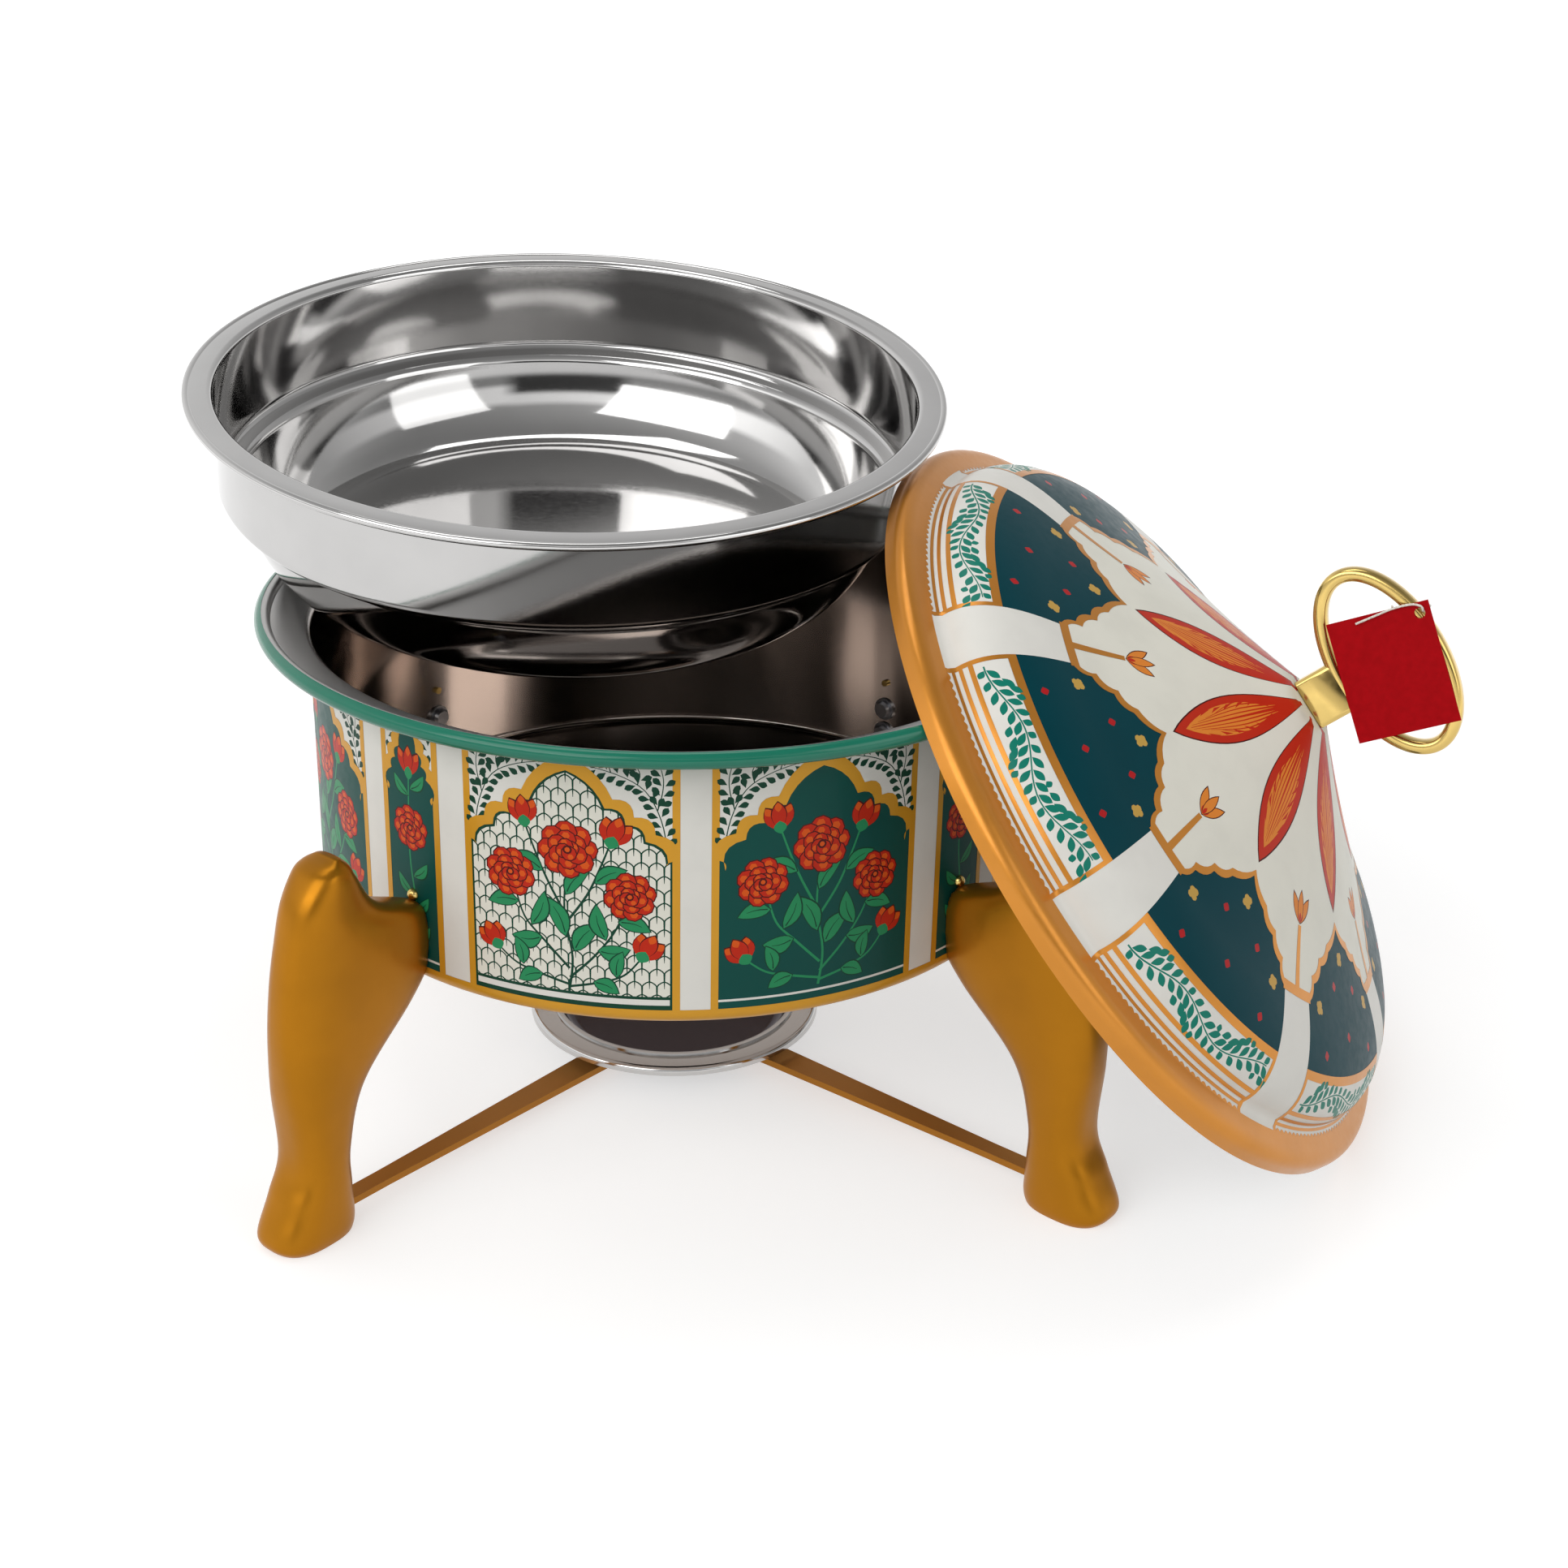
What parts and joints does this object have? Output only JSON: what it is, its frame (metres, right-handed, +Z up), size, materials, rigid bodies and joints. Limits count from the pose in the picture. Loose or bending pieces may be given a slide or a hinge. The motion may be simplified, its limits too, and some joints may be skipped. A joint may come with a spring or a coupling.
{
  "type": "chafing dish",
  "caption": "Round painted chafing dish on cast cabriole legs, with a lift-out food pan, a domed lid leaning on its rim and a burner dish on crossed brace bars below.",
  "frame": {"origin": "on the table, on the drum's axis", "axes": "+Z up along the drum's axis, -Y towards the side that faces the viewer, +X towards the leaning lid"},
  "size_m": [0.5265, 0.431, 0.3154],
  "materials": {
    "drum_enamel": "gloss enamel with painted panels",
    "lid_enamel": "gloss enamel with painted panels",
    "leg_gold": "satin gold paint on a casting",
    "brace_bronze": "satin bronze paint",
    "burner_steel": "spun steel",
    "pan_steel": "polished stainless steel",
    "handle_brass": "polished brass",
    "zinc": "zinc plated",
    "tag_card": "coated card",
    "string_cotton": "cotton"
  },
  "bodies": {
    "base": {"drum": "drum_enamel", "leg_front_left": "leg_gold", "leg_front_right": "leg_gold", "leg_rear_left": "leg_gold", "leg_rear_right": "leg_gold", "leg_screws": "zinc", "leg_washers": "zinc", "pad_rivets": "leg_gold", "brace_bar_lower": "brace_bronze", "brace_bar_upper": "brace_bronze", "brace_rivet": "brace_bronze"},
    "burner": {"burner_dish": "burner_steel"},
    "pan": {"food_pan": "pan_steel"},
    "lid": {"lid_shell": "lid_enamel", "lid_handle": "handle_brass", "handle_washer": "zinc", "handle_screw": "zinc"},
    "tag": {"hang_tag": "tag_card", "tag_string": "string_cotton"}
  },
  "joints": [
    {"name": "lid_lift", "type": "slide", "parent": "base", "child": "lid", "axis": [0.8187, -0.3308, 0.4695], "range_m": [0, 0.2]},
    {"name": "pan_lift", "type": "slide", "parent": "base", "child": "pan", "axis": [0, 0, 1], "range_m": [0, 0.15]},
    {"name": "burner_draw", "type": "slide", "parent": "base", "child": "burner", "axis": [0, -1, 0], "range_m": [0, 0.25]},
    {"name": "tag_swing", "type": "hinge", "parent": "lid", "child": "tag", "pos_m": [0.29572, -0.08842, 0.23368], "axis": [-0.5074, 0.383, 0.7719], "range_deg": [0, 60]}
  ]
}
